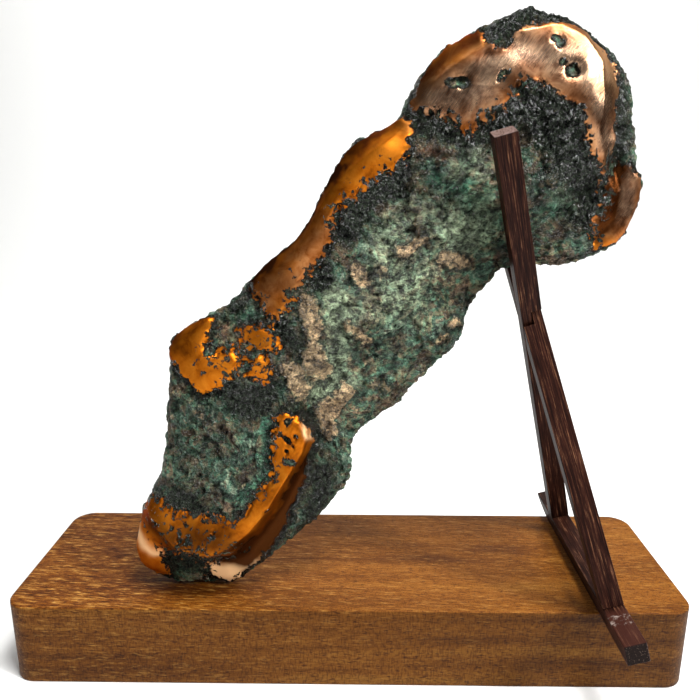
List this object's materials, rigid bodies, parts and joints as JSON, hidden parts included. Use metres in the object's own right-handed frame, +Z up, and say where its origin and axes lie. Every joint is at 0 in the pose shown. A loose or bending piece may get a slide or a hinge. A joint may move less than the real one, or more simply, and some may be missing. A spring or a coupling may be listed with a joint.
{
  "type": "native copper nugget",
  "caption": "Long polished and crusted native copper nugget leaning in the fork of a crossed wooden stand on a hardwood slab.",
  "frame": {"origin": "centre of the slab's underside", "axes": "+X along the slab, from the nugget's foot towards the stand; -Y towards the front; +Z up"},
  "size_m": [0.314, 0.135, 0.2942],
  "materials": {
    "native_copper": "rough green-black mineral crust over bare copper, polished bright on the high rims",
    "slab_hardwood": "sanded and oiled, satin",
    "stand_dark_wood": "sanded, unfilled pores, satin"
  },
  "bodies": {
    "root": {"base_slab": "slab_hardwood", "copper_nugget": "native_copper", "foot_rail": "stand_dark_wood", "front_stick": "stand_dark_wood", "back_stick": "stand_dark_wood"}
  },
  "joints": []
}
